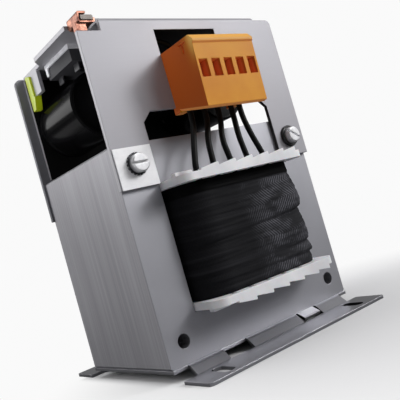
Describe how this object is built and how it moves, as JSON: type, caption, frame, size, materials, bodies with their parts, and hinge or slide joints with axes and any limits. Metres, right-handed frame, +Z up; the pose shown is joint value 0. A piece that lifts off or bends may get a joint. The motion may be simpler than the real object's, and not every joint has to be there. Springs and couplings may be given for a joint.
{
  "type": "dry type transformer",
  "caption": "Foot-mounted dry transformer with a laminated core, taped coil, and a bent sheet chassis carrying a terminal block, smoothing capacitors and a bridge rectifier.",
  "frame": {"origin": "middle of the foot, on the surface it is screwed to", "axes": "+Z up through the core and chassis, X across the width of the laminations, -Y towards the terminal block"},
  "size_m": [0.122, 0.1247, 0.1662],
  "materials": {
    "core_steel": "satin, cut edges streaked",
    "galvanised_sheet": "satin zinc-coated sheet",
    "former_plastic": "semi-matt white moulding",
    "enamelled_copper": "enamelled wire",
    "insulation_film": "film",
    "coil_tape": "black woven tape",
    "plated_pad": "bright plated",
    "zinc_fastener": "bright zinc plate",
    "black_oxide": "black",
    "terminal_plastic": "orange-brown moulding",
    "terminal_inside": "dark red inside the entries",
    "capacitor_sleeve": "glossy black sleeve",
    "rectifier_case": "satin metal",
    "rectifier_resin": "dark resin",
    "lead_sleeve": "black insulation",
    "copper_strap": "bare copper",
    "clip_plastic": "lime-green moulding"
  },
  "bodies": {
    "root": {"black_washer": "black_oxide", "capacitor_left": "capacitor_sleeve", "capacitor_right": "capacitor_sleeve", "chassis": "galvanised_sheet", "clamp_nuts": "zinc_fastener", "clamp_plates": "terminal_inside", "clamp_screw_left": "zinc_fastener", "clamp_screw_right": "zinc_fastener", "coil_former": "former_plastic", "coil_tape": "coil_tape", "contact_pad": "plated_pad", "earth_clamp_bar": "zinc_fastener", "earth_clamp_strap": "copper_strap", "foot_bracket": "galvanised_sheet", "insulating_clip": "clip_plastic", "interwinding_insulation": "insulation_film", "lamination_stack": "core_steel", "lock_washer": "zinc_fastener", "primary_winding": "enamelled_copper", "rear_plate": "galvanised_sheet", "rectifier_base": "rectifier_case", "rectifier_blades": "zinc_fastener", "rectifier_body": "rectifier_resin", "rectifier_lead": "lead_sleeve", "secondary_winding": "enamelled_copper", "terminal_block": "terminal_plastic", "terminal_lead_1": "lead_sleeve", "terminal_lead_2": "lead_sleeve", "terminal_lead_3": "lead_sleeve", "terminal_lead_4": "lead_sleeve", "terminal_lead_5": "lead_sleeve"}
  },
  "joints": []
}
